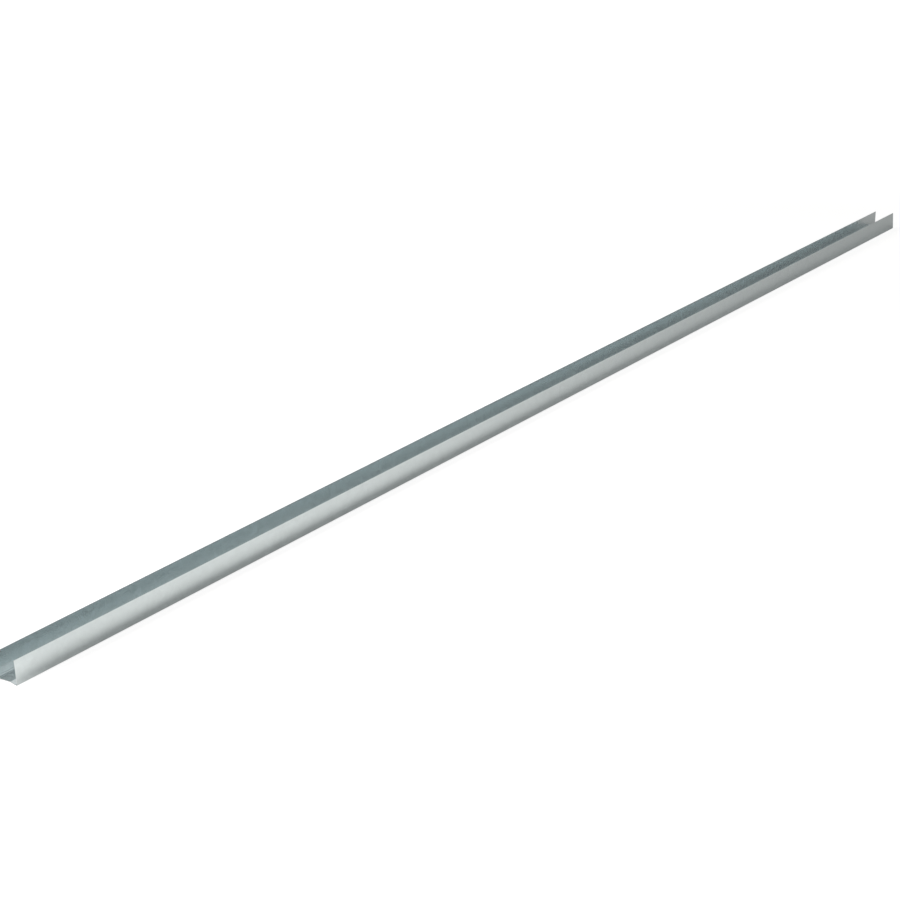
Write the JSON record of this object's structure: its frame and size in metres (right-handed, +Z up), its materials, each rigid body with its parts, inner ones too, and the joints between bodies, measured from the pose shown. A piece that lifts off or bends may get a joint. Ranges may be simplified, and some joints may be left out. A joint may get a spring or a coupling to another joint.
{
  "type": "metal stud track",
  "caption": "Long U-section track of thin galvanised sheet steel with plain flanges and a web whose middle is slightly raised, which holds the ends of wall studs.",
  "frame": {"origin": "middle of the footprint, on the plane the web rests on", "axes": "+X along the track, +Y across the web, +Z up towards the open side"},
  "size_m": [3, 0.05, 0.04],
  "materials": {
    "galvanised_steel": "bright hot-dip zinc coating on cold-rolled sheet, satin with a fine spangle and faint rolling lines"
  },
  "bodies": {
    "root": {"stud_track": "galvanised_steel"}
  },
  "joints": []
}
